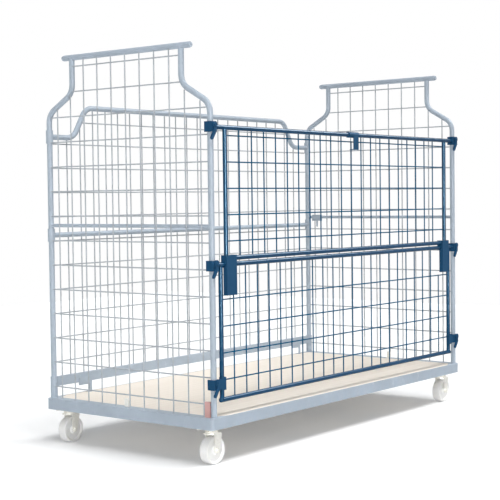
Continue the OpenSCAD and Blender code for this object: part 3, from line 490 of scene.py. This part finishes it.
def spot(verts, faces, place, level_axis, size):
    """One flattened lump, with its faces towards the two wires that it joins."""
    deep = 1 - level_axis
    start = len(verts)
    for layer in (-1, 0, 1):
        radius = SPOT_R * size * (1.0 if layer == 0 else SPOT_FLAT)
        for k in range(SPOT_SIDES):
            t = 2 * math.pi * k / SPOT_SIDES + SPOT_TWIST * layer
            offset = [0.0, 0.0, radius * math.sin(t)]
            offset[level_axis] = radius * math.cos(t)
            offset[deep] = SPOT_HALF * layer
            verts.append(Vector(place) + Vector(offset))
    for row in (0, SPOT_SIDES):
        for k in range(SPOT_SIDES):
            here, there = start + row, start + row + SPOT_SIDES
            after = (k + 1) % SPOT_SIDES
            faces.append((here + k, here + after, there + after, there + k))
    faces.append(tuple(start + k for k in reversed(range(SPOT_SIDES))))
    faces.append(tuple(start + 2 * SPOT_SIDES + k for k in range(SPOT_SIDES)))


def make_spot_welds(node, body, slot, level_axis):
    """Spot welds where the wires of a mesh cross. Its level wires run along level_axis."""
    uprights, levels = [], []
    for low, high in loose_parts(nodes[node].data):
        if high[2] - low[2] > LONG:
            uprights.append((low, high))
        elif high[level_axis] - low[level_axis] > LONG:
            levels.append((low, high))
    deep = 1 - level_axis
    verts, faces = [], []
    seed = 1
    for u_low, u_high in uprights:
        across = (u_low[level_axis] + u_high[level_axis]) / 2
        for l_low, l_high in levels:
            z = (l_low[2] + l_high[2]) / 2
            if not (u_low[2] < z < u_high[2] and l_low[level_axis] < across < l_high[level_axis]):
                continue
            place = [0.0, 0.0, z]
            place[level_axis] = across
            place[deep] = (max(u_low[deep], l_low[deep]) + min(u_high[deep], l_high[deep])) / 2
            seed = (seed * SEED_STEP) % SEED_RANGE
            spot(verts, faces, place, level_axis, 1.0 + SPOT_VARY * (seed / SEED_RANGE - 0.5))
    add_piece(node + "_welds", verts, faces, body, slot)


make_cage_welds()
make_panel_welds("lower_panel_welds", "lower_panel", LOWER_STILE_X, LOWER_BOTTOM_Z, LOWER_TOP_Z,
                 [(CLAMP_X, LOWER_TOP_Z)])
make_panel_welds("upper_panel_welds", "upper_panel", UPPER_STILE_X, UPPER_BOTTOM_Z, UPPER_TOP_Z,
                 [(CLAMP_X, UPPER_TOP_Z), (CHANNEL_X, UPPER_BOTTOM_Z)])
make_spot_welds("end_wall_mesh_left", "cage", "wire_coat", 1)
make_spot_welds("end_wall_mesh_right", "cage", "wire_coat", 1)
make_spot_welds("rear_wall_mesh", "cage", "wire_coat", 0)
make_spot_welds("lower_panel_mesh", "lower_panel", "blue_paint", 0)
make_spot_welds("upper_panel_mesh", "upper_panel", "blue_paint", 0)


# ---- stage ---------------------------------------------------------------------

FLOOR_HALF = 5.6         # the sheet ends before the bright pools close to the lamps
FLOOR_DARK = (0.85, 0.85, 0.85)
FLOOR_LIGHT = (0.87, 0.87, 0.87)
FLOOR_GLOW = 0.195
FLOOR_GLOW_COLOR = (0.93, 0.97, 1.0, 1)
WHITE = (1, 1, 1, 1)
WORLD_LIGHT = 0.21       # how bright the surroundings are for the light that they give
WORLD_SEEN = 1.0         # and for the camera and for reflections
SUN_HEIGHT = 5.0


def background_rays(tree):
    """1 for the rays that see the background: the camera's, reflections and glass."""
    path = tree.nodes.new("ShaderNodeLightPath")
    seen = path.outputs["Is Camera Ray"]
    for name in ("Is Glossy Ray", "Is Transmission Ray"):
        either = tree.nodes.new("ShaderNodeMath")
        either.operation = "MAXIMUM"
        tree.links.new(seen, either.inputs[0])
        tree.links.new(path.outputs[name], either.inputs[1])
        seen = either.outputs[0]
    return seen


def make_floor():
    """White sheet. Seen by the camera it keeps a little light of its own, so that the
    shadow under the base stays an even grey."""
    mesh = bpy.data.meshes.new("floor")
    half = FLOOR_HALF
    mesh.from_pydata([(-half, -half, 0), (half, -half, 0), (half, half, 0), (-half, half, 0)],
                     [], [(0, 1, 2, 3)])
    floor = bpy.data.objects.new("floor", mesh)
    scene.collection.objects.link(floor)
    n = Nodes("floor_paper")
    mesh.materials.append(n.finish(
        Base_Color=n.ramp(n.noise(0.6, detail=2), (0.3, FLOOR_DARK), (0.7, FLOOR_LIGHT)),
        Roughness=1.0, Specular_IOR_Level=0.0, Emission_Color=FLOOR_GLOW_COLOR,
        Emission_Strength=n.math("MULTIPLY", background_rays(n.tree), FLOOR_GLOW)))


def make_world():
    """White surroundings that look brighter than the light that they give."""
    world = bpy.data.worlds.new("studio")
    scene.world = world
    world.use_nodes = True
    tree = world.node_tree
    back = tree.nodes["Background"]
    seen = tree.nodes.new("ShaderNodeBackground")
    for background, strength in ((back, WORLD_LIGHT), (seen, WORLD_SEEN)):
        background.inputs["Color"].default_value = WHITE
        background.inputs["Strength"].default_value = strength
    mix = tree.nodes.new("ShaderNodeMixShader")
    tree.links.new(background_rays(tree), mix.inputs["Fac"])
    tree.links.new(back.outputs[0], mix.inputs[1])
    tree.links.new(seen.outputs[0], mix.inputs[2])
    tree.links.new(mix.outputs[0], tree.nodes["World Output"].inputs["Surface"])


def make_light(name, place, aim, size, power, gloss_only=False):
    """Soft box. With gloss_only it shows in reflections but lights nothing."""
    data = bpy.data.lights.new(name, "AREA")
    data.shape = "RECTANGLE"
    data.size, data.size_y = size
    data.energy = power
    light = bpy.data.objects.new(name, data)
    scene.collection.objects.link(light)
    light.location = place
    light.rotation_euler = (Vector(aim) - Vector(place)).to_track_quat("-Z", "Y").to_euler()
    light.visible_diffuse = not gloss_only


def make_sun(name, lean_x, lean_y, strength, spread):
    """Soft distant light. The leans say how far it goes sideways for each step down, and
    spread is its width in degrees."""
    data = bpy.data.lights.new(name, "SUN")
    data.energy = strength
    data.angle = math.radians(spread)
    light = bpy.data.objects.new(name, data)
    scene.collection.objects.link(light)
    light.location = (0, 0, SUN_HEIGHT)
    light.rotation_euler = Vector((lean_x, lean_y, -1)).to_track_quat("-Z", "Y").to_euler()


make_floor()
make_world()
for name, lean_x in (("sky_left", 0.36), ("sky_middle", 0.0), ("sky_right", -0.36)):
    make_sun(name, lean_x, lean_y=0.42, strength=0.97, spread=22)
make_light("strip_box", (-9.2, -4.4, 1.3), aim=(0, -0.2, 0.9), size=(1.6, 4.8), power=270)
make_light("low_box", (-9.2, -7.4, 0.4), aim=(0, 0, 0.15), size=(5.0, 0.9), power=200)
make_light("gloss_side", (-3.5, -5.0, 1.0), aim=(-0.4, -0.4, 1.0), size=(1.1, 2.8), power=2600,
           gloss_only=True)
make_light("back_box", (3.0, 9.0, 3.4), aim=(0, 0, 0.7), size=(5.0, 1.2), power=75)
make_light("gloss_top", (3.0, -2.6, 4.8), aim=(0, -0.4, 1.0), size=(4.0, 4.0), power=1120,
           gloss_only=True)
